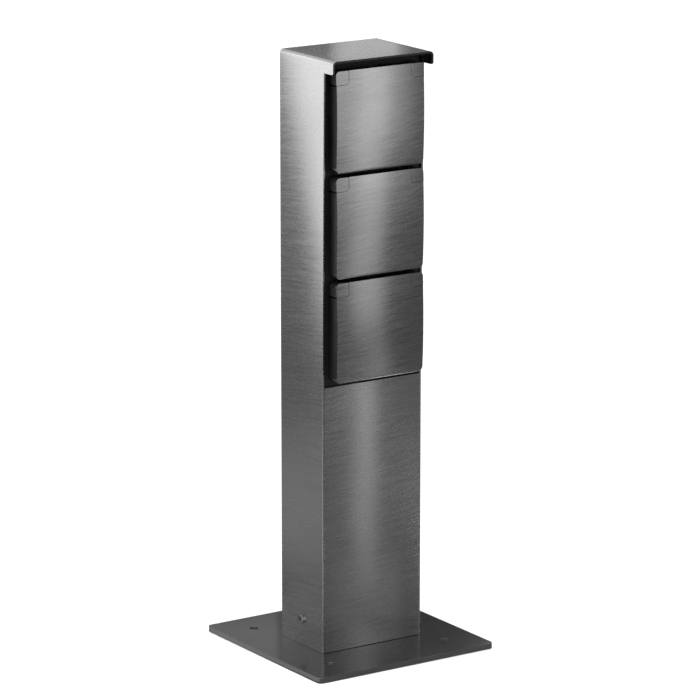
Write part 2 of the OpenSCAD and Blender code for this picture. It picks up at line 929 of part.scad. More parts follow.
module lid_facing(n) {
    color(steel) intersection() {
        translate([0, 0, lid_top(n)]) along_y(lid_face - 2 * lid_crown, lid_rear)
            lid_outline(0, facing_notch_h);
        translate([0, lid_face, lid_mid(n)]) along_x(-lid_w / 2, lid_w / 2) facing_profile();
    }
}

// Side view of the lid body: behind the facing, above its lip, with a round heel above the axis
module body_profile() {
    foot = facing_t + bond_gap - lid_h / 2;
    depth = lid_rear - lid_face;
    axis_up = lid_h / 2 - hinge_drop;
    intersection() {
        crown_disc(facing_t + bond_gap);
        union() {
            translate([-2 * lid_crown, foot]) square([2 * lid_crown + depth, axis_up - foot]);
            translate([-2 * lid_crown, foot])
                square([2 * lid_crown + hinge_back, lid_h / 2 - body_inset - foot]);
            translate([hinge_back, axis_up]) intersection() {
                circle(heel_r);
                translate([0, -cut]) square([heel_r, hinge_drop - body_inset + cut]);
            }
        }
    }
}

module lid_body(n) {
    hollow_top = axis_z(n) - knuckle_r;
    color(dark) difference() {
        intersection() {
            translate([0, 0, lid_top(n)]) along_y(lid_face - 2 * lid_crown, lid_rear)
                lid_outline(body_inset, notch_h);
            translate([0, lid_face, lid_mid(n)]) along_x(-lid_w / 2, lid_w / 2) body_profile();
        }
        intersection() {
            translate([0, 0, lid_top(n)]) along_y(wall_back, lid_rear + cut)
                lid_outline(body_inset + lid_wall, notch_h);
            slab([-lid_w / 2, wall_back, lid_mid(n) - lid_h / 2 + facing_t + bond_gap + lid_wall],
                [lid_w / 2, lid_rear + cut, hollow_top]);
        }
        translate([0, axis_y, axis_z(n)]) slab(
            [-spring_w / 2 - slip, -spring_slot, -spring_slot],
            [spring_w / 2 + slip, heel_r + cut, knuckle_r + cut]);
        translate([0, axis_y, axis_z(n)]) rod_x(-lid_w, lid_w, pin_d / 2 + pin_run);
    }
}

module lid_seal(n) {
    color(rubber) translate([0, 0, lid_mid(n)]) difference() {
        rod_y(wall_back, rim - seal_gap, seal_outer);
        rod_y(wall_back - cut, rim, seal_inner);
    }
}

base_plate();
base_screws();
foot_bracket();
cable_grommet();
outer_shell();
side_screws();
front_panel();
rear_panel();
rear_panel_screws();
rear_rail_left();
rear_rail_right();
front_rail_left();
front_rail_right();
socket_housing();
housing_gasket();
housing_screws();
insert_screws();
terminal_carrier();
terminal_block();
terminal_inserts();
terminal_screws();
block_screws();
earth_stud();
earth_nuts();
bond_lug();
bond_wire();
live_wire();
neutral_wire();
earth_wire();
contact_screws();
for (n = gangs) {
    lid_body(n);
    lid_facing(n);
    lid_seal(n);
    lug_caps(n);
    hinge_pin(n);
    lid_spring(n);
    socket_insert(n);
    earth_strap(n);
    contacts(n);
}
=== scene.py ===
import json
import math

import bmesh
import bpy
import numpy as np
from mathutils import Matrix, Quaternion, Vector


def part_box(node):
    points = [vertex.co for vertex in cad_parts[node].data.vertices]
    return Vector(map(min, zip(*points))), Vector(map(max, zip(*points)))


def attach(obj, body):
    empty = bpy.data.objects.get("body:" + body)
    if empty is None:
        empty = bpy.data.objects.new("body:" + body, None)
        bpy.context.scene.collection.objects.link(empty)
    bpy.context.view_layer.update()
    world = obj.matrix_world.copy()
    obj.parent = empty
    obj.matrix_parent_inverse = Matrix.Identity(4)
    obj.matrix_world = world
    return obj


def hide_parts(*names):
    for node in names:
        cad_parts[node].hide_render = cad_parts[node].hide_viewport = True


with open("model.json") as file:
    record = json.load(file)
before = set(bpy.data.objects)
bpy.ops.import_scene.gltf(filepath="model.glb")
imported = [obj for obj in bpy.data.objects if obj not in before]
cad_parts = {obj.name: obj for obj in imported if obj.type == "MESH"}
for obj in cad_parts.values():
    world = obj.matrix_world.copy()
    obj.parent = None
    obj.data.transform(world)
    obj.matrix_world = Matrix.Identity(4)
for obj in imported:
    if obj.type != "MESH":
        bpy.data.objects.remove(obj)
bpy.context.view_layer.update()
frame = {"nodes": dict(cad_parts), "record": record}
scene = bpy.context.scene
mm = 0.001  # the settings of the pieces are in millimetres
gangs = (1, 2, 3)


# camera at the photograph's angle

photoCamera = {
    "yaw": -33.63,  # degrees round the post from straight ahead
    "pitch": 13.50,  # degrees above the horizon
    "distance": 2.9527,  # metres from the aim
    "aim": (0, 0, 0.225),  # half way up the post
    "focalPx": 4150.7,
    "centrePx": (349.45, 337.02),  # where the lens axis meets the picture
    "picturePx": 700,
    "sensorMm": 36,
}


def setCamera(c):
    yaw = math.radians(c["yaw"])
    pitch = math.radians(c["pitch"])
    back = Vector((math.sin(yaw) * math.cos(pitch), -math.cos(yaw) * math.cos(pitch), math.sin(pitch)))
    lens = bpy.data.cameras.new("photoCamera")
    lens.sensor_width = c["sensorMm"]
    lens.lens = c["focalPx"] / c["picturePx"] * c["sensorMm"]
    lens.shift_x = 0.5 - c["centrePx"][0] / c["picturePx"]
    lens.shift_y = c["centrePx"][1] / c["picturePx"] - 0.5
    eye = bpy.data.objects.new("photoCamera", lens)
    scene.collection.objects.link(eye)
    eye.location = Vector(c["aim"]) + back * c["distance"]
    eye.rotation_mode = "QUATERNION"
    eye.rotation_quaternion = (-back).to_track_quat("-Z", "Y")
    scene.camera = eye


setCamera(photoCamera)
print("camera set")


# materials

def toLinear(hexColour):  # the sRGB curve, undone
    parts = [int(hexColour[i:i + 2], 16) / 255 for i in (1, 3, 5)]
    return [c / 12.92 if c <= 0.04045 else ((c + 0.055) / 1.055) ** 2.4 for c in parts] + [1.0]


def newTree(name):
    material = bpy.data.materials.new(name)
    material.use_nodes = True
    material.node_tree.nodes.clear()
    return material, material.node_tree


def addNode(tree, kind, settings=None, inputs=None):  # a value goes into its socket, a socket is linked
    node = tree.nodes.new(kind)
    for key, value in (settings or {}).items():
        setattr(node, key, value)
    for key, value in (inputs or {}).items():
        if isinstance(value, bpy.types.NodeSocket):
            tree.links.new(value, node.inputs[key])
        else:
            node.inputs[key].default_value = value
    return node


noiseRange = (0.3, 0.7)  # where most of a noise lies
cloudRange = (0.35, 0.65)  # a little less, for clearer clouds
sumRange = (0.5, 1.1)  # the same for a noise with a part of another added

# 304 stainless sheet, belt brushed one way: long fine grooves that draw each light out into a soft
# band across them, with stray scratches that catch it at the band's edges
brushedSheet = {
    "dark": "#a6a6a7",
    "light": "#bfbfbe",
    "grainMm": (24, 0.9),  # length and pitch of a groove, coarser than real so that it shows
    "fineMm": (8, 0.5),
    "scratchMm": (13, 0.8),
    "scratchTilt": 9,  # degrees
    "cloudMm": 55,
    "fineShare": 0.6,
    "cloudShare": 0.6,
    "raggedness": 0.55,
    "octaves": {"grain": 3.0, "fine": 2.0, "scratch": 1.0, "cloud": 1.0},
    "roughness": (0.21, 0.31),
    "anisotropy": 0.88,
    "stray": 0.09,  # how far the scratches turn the shine
    "grooveMm": 0.005,
    "bump": 0.3,
}
# the shell's sheet is finer brushed, so its sides shade off smoothly
shellSheet = dict(brushedSheet, dark="#acacad", light="#bababa", grainMm=(30, 0.8), stray=0.02,
                  grooveMm=0.004)
# the lids are stamped from a darker, duller sheet of the same steel
lidSheet = dict(brushedSheet, dark="#878788", light="#a3a3a2", grooveMm=0.007)
# the base plate is thicker and more worn, rolled smoother, so it mirrors the foot of the post
plateSheet = dict(brushedSheet, dark="#98989a", light="#b0b0b0", roughness=(0.12, 0.2), anisotropy=0.4)
# where a sheet was sheared its edge is torn and dull, and its colour is painted near black as shade, which
# draws a dark line round the sheet
shadedEdge = dict(brushedSheet, dark="#343436", light="#4a4a4d", roughness=(0.4, 0.55), anisotropy=0.2)
# a drilled bore is rougher than the rolled plate and painted lighter, as light that lifts the shade inside
# the anchor holes, so they show only faintly
litBore = dict(brushedSheet, dark="#a6a6a6", light="#b8b8b8", roughness=(0.3, 0.4), anisotropy=0.3)


def brushedStainless(name, along, tilt, s):
    material, tree = newTree(name)
    place = addNode(tree, "ShaderNodeTexCoord").outputs["Object"]
    turnAxis = 1 if along == "x" else 0

    def streaks(sizeMm, turn, detail):  # noise drawn out along the brush
        spin = [0.0, 0.0, 0.0]
        spin[turnAxis] = math.radians(turn)
        size = [sizeMm[0] * mm if a == along else sizeMm[1] * mm for a in "xyz"]
        spread = addNode(tree, "ShaderNodeMapping", {"vector_type": "TEXTURE"},
                         {"Vector": place, "Rotation": spin, "Scale": size})
        noise = addNode(tree, "ShaderNodeTexNoise", {},
                        {"Vector": spread.outputs[0], "Scale": 1.0, "Detail": detail,
                         "Roughness": s["raggedness"]})
        return noise.outputs["Fac"]

    octaves = s["octaves"]
    grain = streaks(s["grainMm"], tilt, octaves["grain"])
    fine = streaks(s["fineMm"], tilt, octaves["fine"])
    stray = streaks(s["scratchMm"], tilt + math.copysign(s["scratchTilt"], tilt), octaves["scratch"])
    cloud = addNode(tree, "ShaderNodeTexNoise", {},
                    {"Vector": place, "Scale": 1 / (s["cloudMm"] * mm),
                     "Detail": octaves["cloud"]}).outputs["Fac"]
    groove = addNode(tree, "ShaderNodeMath", {"operation": "MULTIPLY_ADD"},
                     {0: fine, 1: s["fineShare"], 2: grain})
    mixed = addNode(tree, "ShaderNodeMath", {"operation": "MULTIPLY_ADD"},
                    {0: cloud, 1: s["cloudShare"], 2: grain})
    tone = addNode(tree, "ShaderNodeMapRange", {},
                   {"Value": mixed.outputs[0], "From Min": sumRange[0], "From Max": sumRange[1]})
    colour = addNode(tree, "ShaderNodeMix", {"data_type": "RGBA"},
                     {0: tone.outputs[0], 6: toLinear(s["dark"]), 7: toLinear(s["light"])})
    rough = addNode(tree, "ShaderNodeMapRange", {},
                    {"Value": groove.outputs[0], "From Min": sumRange[0], "From Max": sumRange[1],
                     "To Min": s["roughness"][0], "To Max": s["roughness"][1]})
    bump = addNode(tree, "ShaderNodeBump", {},
                   {"Height": groove.outputs[0], "Strength": s["bump"], "Distance": s["grooveMm"] * mm})
    # the shine runs square to the brush, and a stray scratch turns it a little
    turn = addNode(tree, "ShaderNodeMapRange", {},
                   {"Value": stray, "From Min": noiseRange[0], "From Max": noiseRange[1],
                    "To Min": -s["stray"], "To Max": s["stray"]})
    way = addNode(tree, "ShaderNodeCombineXYZ", {},
                  {"X": float(along == "x"), "Y": float(along == "y"), "Z": turn.outputs[0]})
    normal = addNode(tree, "ShaderNodeNewGeometry").outputs["Normal"]
    across = addNode(tree, "ShaderNodeVectorMath", {"operation": "CROSS_PRODUCT"},
                     {0: normal, 1: way.outputs[0]})
    steel = addNode(tree, "ShaderNodeBsdfPrincipled", {},
                    {"Base Color": colour.outputs[2], "Metallic": 1.0, "Roughness": rough.outputs[0],
                     "Anisotropic": s["anisotropy"], "Tangent": across.outputs[0], "Normal": bump.outputs[0]})
    addNode(tree, "ShaderNodeOutputMaterial", {}, {"Surface": steel.outputs[0]})
    return material


# grit is drawn coarser than real so that it shows, and rises by a share of its size
gritForm = {"octaves": 2.0, "cloudOctaves": 3.0, "rise": 0.05}


def grainyFinish(name, s):  # two tones in soft clouds, with a fine grit in the gloss and the surface
    material, tree = newTree(name)
    place = addNode(tree, "ShaderNodeTexCoord").outputs["Object"]
    grit = addNode(tree, "ShaderNodeTexNoise", {},
                   {"Vector": place, "Scale": 1 / (s["gritMm"] * mm),
                    "Detail": gritForm["octaves"]}).outputs["Fac"]
    cloud = addNode(tree, "ShaderNodeTexNoise", {},
                    {"Vector": place, "Scale": 1 / (s["cloudMm"] * mm),
                     "Detail": gritForm["cloudOctaves"]}).outputs["Fac"]
    tone = addNode(tree, "ShaderNodeMapRange", {},
                   {"Value": cloud, "From Min": cloudRange[0], "From Max": cloudRange[1]})
    colour = addNode(tree, "ShaderNodeMix", {"data_type": "RGBA"},
                     {0: tone.outputs[0], 6: toLinear(s["tones"][0]), 7: toLinear(s["tones"][1])})
    rough = addNode(tree, "ShaderNodeMapRange", {},
                    {"Value": grit, "From Min": noiseRange[0], "From Max": noiseRange[1],
                     "To Min": s["roughness"][0], "To Max": s["roughness"][1]})
    bump = addNode(tree, "ShaderNodeBump", {},
                   {"Height": grit, "Strength": s["bump"], "Distance": s["gritMm"] * mm * gritForm["rise"]})
    surface = addNode(tree, "ShaderNodeBsdfPrincipled", {},
                      {"Base Color": colour.outputs[2], "Metallic": s["metallic"],
                       "Roughness": rough.outputs[0], "Normal": bump.outputs[0]})
    if not s["metallic"]:
        surface.inputs["IOR"].default_value = s["ior"]
    addNode(tree, "ShaderNodeOutputMaterial", {}, {"Surface": surface.outputs[0]})
    return material


# black ABS from a spark-eroded mould: satin, with a fine grain that breaks up the reflections
blackAbs = {"tones": ("#121213", "#1b1b1c"), "metallic": 0.0, "ior": 1.54, "roughness": (0.36, 0.5),
            "gritMm": 0.6, "cloudMm": 30, "bump": 0.25}
# the same ABS with a coarse mould texture on the housing: nearly dull, and painted darker than the lids' ABS
# as shade, so the gaps round the lids stay dark
coarseShadedAbs = dict(blackAbs, tones=("#0d0d0e", "#151516"), roughness=(0.6, 0.75), gritMm=0.9)
# black EPDM rubber, compression moulded: dull and slightly dusty
blackRubber = {"tones": ("#0e0e0e", "#191918"), "metallic": 0.0, "ior": 1.5, "roughness": (0.62, 0.8),
               "gritMm": 0.5, "cloudMm": 12, "bump": 0.4}
# mild steel, zinc plated and blue passivated: pale, cool, softly mottled
zincPlate = {"tones": ("#93979b", "#b1b3b2"), "metallic": 1.0, "roughness": (0.28, 0.45),
             "gritMm": 0.4, "cloudMm": 5, "bump": 0.15}
# free-machining brass, turned: warm yellow with darker tarnish in patches
turnedBrass = {"tones": ("#a98342", "#d1ae62"), "metallic": 1.0, "roughness": (0.22, 0.4),
               "gritMm": 0.4, "cloudMm": 4, "bump": 0.15}
# natural polyamide, moulded: cream coloured and faintly waxy
paleNylon = {"tones": ("#ddd7c6", "#ece7da"), "metallic": 0.0, "ior": 1.53, "roughness": (0.4, 0.55),
             "gritMm": 0.5, "cloudMm": 9, "bump": 0.2}
# extruded PVC insulation: smooth, with a low gloss, and yellow patches in the green
brownPvc = {"tones": ("#4b2c1a", "#5e3922"), "metallic": 0.0, "ior": 1.53, "roughness": (0.32, 0.42),
            "gritMm": 0.7, "cloudMm": 14, "bump": 0.1}
bluePvc = dict(brownPvc, tones=("#25518f", "#3163a8"))
greenPvc = dict(brownPvc, tones=("#5d8f24", "#d3c530"), cloudMm=2.2)

grainTilt = {"x": -5, "y": -6}  # degrees that the brush ran off the sheet's edges
sheetAcross = brushedStainless("brushedStainlessAcross", "x", grainTilt["x"], brushedSheet)
sheetDeep = brushedStainless("brushedStainlessDeep", "y", grainTilt["y"], shellSheet)
sheetLid = brushedStainless("brushedStainlessLid", "x", grainTilt["x"], lidSheet)
sheetPlate = brushedStainless("brushedStainlessPlate", "x", grainTilt["x"], plateSheet)
sheetEdgeShade = brushedStainless("shearedStainlessEdge", "x", grainTilt["x"], shadedEdge)
sheetBoreLit = brushedStainless("drilledStainlessBore", "x", grainTilt["x"], litBore)
houseAbsShaded = grainyFinish("texturedBlackAbs", coarseShadedAbs)
finishes = {
    "brushed_stainless": sheetAcross,
    "zinc_plated_steel": grainyFinish("zincPlatedSteel", zincPlate),
    "black_plastic": grainyFinish("mouldedBlackAbs", blackAbs),
    "black_rubber": grainyFinish("mouldedBlackRubber", blackRubber),
    "brass": grainyFinish("turnedBrass", turnedBrass),
    "pale_plastic": grainyFinish("mouldedPaleNylon", paleNylon),
    "brown_wire": grainyFinish("brownPvc", brownPvc),
    "blue_wire": grainyFinish("bluePvc", bluePvc),
    "green_wire": grainyFinish("greenPvc", greenPvc),
}
slotOf = {part["node"]: part["material_slot"] for part in frame["record"]["subparts"]}
for nodeName, nodeObject in frame["nodes"].items():
    nodeObject.data.materials.clear()
    nodeObject.data.materials.append(finishes[slotOf[nodeName]])
print("materials:", len(bpy.data.materials))


# mesh tools

meshWork = {
    "mergeMm": 0.002,  # points closer than this are one
    "cadMergeMm": 0.001,
    "flatDeg": 0.3,  # triangles that meet at less than this are one face
}


def boxMm(node):
    low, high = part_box(node)
    return np.array(low) / mm, np.array(high) / mm


def gridFaces(rows, cols, roundCols=False, start=0):  # quads of a grid, closed on itself if roundCols
    r, c = np.meshgrid(np.arange(rows - 1), np.arange(cols if roundCols else cols - 1), indexing="ij")
    right = (c + 1) % cols
    quads = np.stack([r * cols + c, r * cols + right, (r + 1) * cols + right, (r + 1) * cols + c], -1)
    return (quads.reshape(-1, 4) + start).tolist()


def joinGrids(*grids, roundCols=False):  # grids of points, rows by columns by xyz, as one mesh
    faces, start = [], 0
    for grid in grids:
        faces += gridFaces(*grid.shape[:2], roundCols, start)
        start += grid.size // 3
    return np.concatenate([grid.reshape(-1, 3) for grid in grids]), faces


def arc(centre, radius, startDeg, endDeg, steps):
    turn = np.radians(np.linspace(startDeg, endDeg, steps))
    return np.array(centre) + radius * np.stack([np.cos(turn), np.sin(turn)], -1)


def lathe(rings, heights, centre, axis, spokes=36):  # each ring stands square to the axis at its height
    axis = np.array(axis, float)
    side = np.cross(axis, (1, 0, 0) if axis[2] else (0, 0, 1))
    rise = np.cross(axis, side)
    turn = np.linspace(0, 2 * np.pi, spokes + 1)[:-1, None]
    rings = np.asarray(rings, float).reshape(len(heights), -1, 1)
    return np.array(centre) + rings * (np.cos(turn) * side + np.sin(turn) * rise) \
        + np.asarray(heights, float)[:, None, None] * axis


def sweep(path, radius, sides, across):  # rings square to the path, shrunk to a point at both ends
    along = np.gradient(path, axis=0)
    out = np.cross(along, across)
    out /= np.linalg.norm(out, axis=1, keepdims=True)
    other = np.cross(along, out)
    other /= np.linalg.norm(other, axis=1, keepdims=True)
    turn = np.linspace(0, 2 * np.pi, sides + 1)[:-1, None]
    rings = radius * (np.cos(turn) * out[:, None] + np.sin(turn) * other[:, None])
    tube = path[:, None] + rings
    ends = [np.repeat(path[i][None, None], sides, 1) for i in (0, -1)]
    return np.concatenate([ends[0], tube, ends[1]])


def finishPiece(piece, body, materials, nodes, smoothDeg=40):
    for material in materials:
        piece.data.materials.append(material)
    piece.data.polygons.foreach_set("use_smooth", np.ones(len(piece.data.polygons), bool))
    piece.data.set_sharp_from_angle(angle=math.radians(smoothDeg))
    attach(piece, body)
    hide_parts(*nodes)
    return piece


def newPiece(name, verts, faces):  # seams are merged and faces turned outwards
    mesh = bpy.data.meshes.new(name)
    mesh.from_pydata((np.asarray(verts, float) * mm).tolist(), [], faces)
    work = bmesh.new()
    work.from_mesh(mesh)
    bmesh.ops.remove_doubles(work, verts=work.verts, dist=meshWork["mergeMm"] * mm)
    bmesh.ops.recalc_face_normals(work, faces=work.faces)
    work.to_mesh(mesh)
    work.free()
    piece = bpy.data.objects.new(name, mesh)
    scene.collection.objects.link(piece)
    return piece


def faceValues(piece, kind):  # normal or center of every face
    values = np.empty(len(piece.data.polygons) * 3)
    piece.data.polygons.foreach_get(kind, values)
    return values.reshape(-1, 3)


def chooseFinish(piece, chosen, index):
    piece.data.polygons.foreach_set("material_index", np.where(chosen, index, 0).astype(np.int32))


def addSheet(piece, thickMm):  # thickness goes inwards from the outer face, the edge has its own finish
    wall = piece.modifiers.new("sheet", "SOLIDIFY")
    wall.material_offset_rim = 1
    wall.thickness = thickMm * mm
    wall.offset = -1
    wall.use_even_offset = True


def addBevel(piece, widthMm, segments=2, angleDeg=50):
    edge = piece.modifiers.new("edges", "BEVEL")
    edge.width = widthMm * mm
    edge.segments = segments
    edge.limit_method = "ANGLE"
    edge.angle_limit = math.radians(angleDeg)
    edge.use_clamp_overlap = True
    edge.harden_normals = True


def cadCopy(node, name):  # merged copy of a node's triangles, with flat faces joined up again
    mesh = frame["nodes"][node].data.copy()
    mesh.name = name
    mesh.materials.clear()
    work = bmesh.new()
    work.from_mesh(mesh)
    bmesh.ops.remove_doubles(work, verts=work.verts, dist=meshWork["cadMergeMm"] * mm)
    bmesh.ops.dissolve_limit(work, angle_limit=math.radians(meshWork["flatDeg"]), verts=work.verts,
                             edges=work.edges)
    work.to_mesh(mesh)
    work.free()
    piece = bpy.data.objects.new(name, mesh)
    scene.collection.objects.link(piece)
    return piece


# folded shell: an outline of side, bend, roof, bend, side, carried from the front edge to the back.
# The front edge leans forward a little above the sill. The canopy and its ears go on ahead of it, from
# the ears' foot upwards.
shell = {
    "sheet": 1.5,
    "bendR": 3.0,
    "canopy": 14.0,
    "earH": 9.5,
    "earR": 2.0,
    "earDeg": (0, 36, 53, 67, 79, 90),  # the first step leaves room for the rounded edge
    "lean": 2.4,
    "edge": 0.3,
    "steps": {"side": 7, "bend": 8, "roof": 8, "deep": 6, "canopy": 3},
}


def outerShell(s):
    low, high = boxMm("outer_shell")
    steps = s["steps"]
    half, top, foot = high[0], high[2], low[2]
    front = low[1] + s["canopy"]
    earFoot = top - s["earH"]
    sill = boxMm("front_panel")[1][2]
    turn = np.radians(s["earDeg"])
    sideZ = np.concatenate([np.linspace(foot, sill, steps["side"] + 1)[:-1],
                            np.linspace(sill, earFoot, steps["side"] + 1)[:-1],
                            earFoot + s["earR"] * (1 - np.cos(turn)), [top - s["bendR"]]])
    bend = np.linspace(0, np.pi / 2, steps["bend"] + 1)[1:]
    leftX = np.concatenate([np.full(sideZ.size, -half), -half + s["bendR"] * (1 - np.cos(bend))])
    leftZ = np.concatenate([sideZ, top - s["bendR"] * (1 - np.sin(bend))])
    roofX = np.linspace(leftX[-1], -leftX[-1], steps["roof"] + 1)[1:-1]
    x = np.concatenate([leftX, roofX, -leftX[::-1]])
    z = np.concatenate([leftZ, np.full(roofX.size, top), leftZ[::-1]])
    edgeY = front - s["lean"] * np.clip((z - sill) / (earFoot - sill), 0, 1)
    # front edge of the canopy, round at the foot of the ear
    rise = np.clip((z - earFoot) / s["earR"], 0, 1)
    lip = low[1] + s["earR"] * (1 - np.sqrt(1 - (1 - rise) ** 2))
    deep = np.linspace(0, 1, steps["deep"] + 1)[:, None]
    post = np.stack([x + 0 * deep, edgeY + (high[1] - edgeY) * deep, z + 0 * deep], -1)
    over = z >= earFoot - 1e-6
    ahead = np.linspace(0, 1, steps["canopy"] + 1)[:, None]
    hood = np.stack([x[over] + 0 * ahead, lip[over] + (edgeY[over] - lip[over]) * ahead,
                     z[over] + 0 * ahead], -1)
    verts, faces = joinGrids(post, hood)
    piece = newPiece("outerShell", verts, faces)
    chooseFinish(piece, faceValues(piece, "center")[:, 1] / mm > front - s["lean"], 2)  # all but the canopy
    addSheet(piece, s["sheet"])
    addBevel(piece, s["edge"], segments=4)
    # finishes of the canopy and its cut edge, painted dark as shade, then of the post and its edge
    return finishPiece(piece, "post", [sheetDeep, sheetEdgeShade, sheetDeep, sheetAcross],
                       ["outer_shell"])


outerShell(shell)
print("shell folded")


# lid facing: rows up the crowned face, each as wide as the outline there, with a quarter round at the
# bottom. The rows beside the lugs stop at the notches. The lip goes straight back from the bottom row
# and from the round corners on both sides of it.
facing = {
    "sheet": 0.8,
    "crown": 1.2,
    "cornerR": 4.0,
    "lip": 6.0,
    "foldR": 1.3,
    "notchX": 26.0,
    "notchH": 10.0,
    "notchR": 2.7,
    "edge": 0.22,
    "apart": 0.05,  # least height between the fold's rows and the corner's
    "steps": {"across": 32, "wing": 6, "fold": 5, "corner": 8, "face": 23, "neck": 4, "lip": 3},
}


def crowned(z, foot, top, edgeY, crown):  # circle through the top and bottom edge that bulges by crown
    rise = (top - foot) / 2
    radius = (rise ** 2 + crown ** 2) / (2 * crown)
    return edgeY + radius - crown - np.sqrt(radius ** 2 - (z - (foot + top) / 2) ** 2)


def lidFacing(n, s):
    node = f"lid_facing_{n}"
    low, high = boxMm(node)
    steps = s["steps"]
    half, foot, top = high[0], low[2], high[2]
    edgeY = low[1] + s["crown"]
    notch = top - s["notchH"]
    shoulder = s["notchX"] + s["notchR"]
    inner = np.linspace(-shoulder, shoulder, steps["across"] + 1)
    outer = np.linspace(0, 1, steps["wing"] + 1)[1:]
    # lower part, with the fold and the round bottom corners
    fold = np.linspace(0, np.pi / 2, steps["fold"] + 1)[:-1]
    turn = np.linspace(0, np.pi / 2, steps["corner"] + 1)
    foldZ = foot + s["foldR"] * (1 - np.cos(fold))
    cornerZ = foot + s["cornerR"] * (1 - np.cos(turn))
    cornerZ = cornerZ[cornerZ > foot + s["foldR"] + s["apart"]]
    lowerZ = np.concatenate([foldZ, cornerZ, np.linspace(cornerZ[-1], notch, steps["face"] + 1)[1:]])
    lowerY = np.concatenate([edgeY + s["foldR"] * (1 - np.sin(fold)),
                             crowned(lowerZ[fold.size:], foot, top, edgeY, s["crown"])])
    inCorner = np.clip(1 - (lowerZ - foot) / s["cornerR"], 0, 1)
    width = half - s["cornerR"] * (1 - np.sqrt(1 - inCorner ** 2))
    wings = shoulder + (width[:, None] - shoulder) * outer
    lowerX = np.concatenate([-wings[:, ::-1], np.repeat(inner[None], lowerZ.size, 0), wings], 1)
    lower = np.stack([lowerX, lowerY[:, None] + 0 * lowerX, lowerZ[:, None] + 0 * lowerX], -1)
    # lip: down the left corner, along the bottom row and up the right corner
    up = slice(1, fold.size + cornerZ.size)
    rim = np.concatenate([lower[up, 0][::-1], lower[0], lower[up, -1]])
    back = rim * (1, 0, 1) + (0, edgeY + s["lip"], 0)
    lip = rim + (back - rim) * np.linspace(0, 1, steps["lip"] + 1)[:, None, None]
    # upper part between the notches
    cornerUp = notch + s["notchR"] * (1 - np.cos(turn))
    upperZ = np.concatenate([cornerUp, np.linspace(cornerUp[-1], top, steps["neck"] + 1)[1:]])
    inNotch = np.clip(1 - (upperZ - notch) / s["notchR"], 0, 1)
    narrow = s["notchX"] + s["notchR"] * (1 - np.sqrt(1 - inNotch ** 2))
    upperX = inner[None] / shoulder * narrow[:, None]
    upperY = crowned(upperZ, foot, top, edgeY, s["crown"])[:, None] + 0 * upperX
    upper = np.stack([upperX, upperY, upperZ[:, None] + 0 * upperX], -1)
    verts, faces = joinGrids(lower, upper, lip)
    piece = newPiece(f"lidFacing{n}", verts, faces)
    addSheet(piece, s["sheet"])
    addBevel(piece, s["edge"])
    # the facing's cut edge takes the finish painted near black as shade
    return finishPiece(piece, f"lid_{n}", [sheetLid, sheetEdgeShade], [node])


for gang in gangs:
    lidFacing(gang, facing)
print("lids faced")


# lug caps: rings of the cap's outline, from a point at its back out to the edge and in over the front,
# which bulges with the facing. Round upper outer and lower inner corners, the left cap mirrors the right.
cap = {
    "gap": 0.12,
    "upperR": 3.0,
    "lowerR": 2.3,
    "sharpR": 0.3,  # the other two corners
    "edge": 0.12,
    "crown": 1.2,
    "flush": 0.1,
    "cornerPoints": 12,
    "inward": (0.8, 0.6, 0.4, 0.2, 0),  # rings over the front, as shares of the outline
    "faceOn": 0.9,  # faces turned further from the front than this are the cut edge
}


def lugCaps(n, s):
    node = f"lug_caps_{n}"
    low, high = boxMm(node)
    lidLow, lidHigh = boxMm(f"lid_facing_{n}")
    inX, outX = facing["notchX"] + s["gap"], high[0]
    foot, top = lidHigh[2] - facing["notchH"] + s["gap"], high[2]
    corners = [((inX + s["lowerR"], foot + s["lowerR"]), s["lowerR"], 180),
               ((outX - s["sharpR"], foot + s["sharpR"]), s["sharpR"], 270),
               ((outX - s["upperR"], top - s["upperR"]), s["upperR"], 0),
               ((inX + s["sharpR"], top - s["sharpR"]), s["sharpR"], 90)]
    outline = np.concatenate([arc(centre, r, start, start + 90, s["cornerPoints"])
                              for centre, r, start in corners])
    middle = np.array([(inX + outX) / 2, (foot + top) / 2])
    shrink = np.array([0, 1, 1, 1 - s["edge"] / 4, *s["inward"]])[:, None, None]
    flat = middle + (outline - middle) * shrink
    front = crowned(flat[..., 1], lidLow[2], lidHigh[2], lidLow[1] + s["crown"], s["crown"]) + s["flush"]
    front[:2] = high[1]
    front[2] += s["edge"]
    right = np.stack([flat[..., 0], front, flat[..., 1]], -1)
    verts, faces = joinGrids(right, right * (-1, 1, 1), roundCols=True)
    piece = newPiece(f"lugCaps{n}", verts, faces)
    chooseFinish(piece, np.abs(faceValues(piece, "normal")[:, 1]) < s["faceOn"], 1)
    # the cap's cut edge takes the finish painted near black as shade
    return finishPiece(piece, "post", [sheetLid, sheetEdgeShade], [node], smoothDeg=30)


for gang in gangs:
    lugCaps(gang, cap)
print("lugs capped")


# screws: rings from the tip of the shank out to the head, over its low dome and down a hexagonal recess
headForm = {  # shares of the head's height or radius, apart from the tip and the chamfer in mm
    "rim": 0.6,
    "flat": 0.8,
    "hexShare": 0.45,
    "hexEdge": 1.1,
    "sink": 0.55,
    "drillPoint": 0.1,
    "chamfer": 0.1,
    "tip": 0.4,
    "domeSteps": 5,
    "spokes": 36,
}
sideScrew = {"headR": 3.5, "headH": 2.0, "shankR": 2.0, "length": 5.6, "seat": 42.0}  # on the shell's side
rearScrew = {"headR": 3.5, "headH": 2.0, "shankR": 2.0, "rows": 3}
housingScrew = {"headR": 3.0, "headH": 2.0, "shankR": 1.75, "rows": 3}


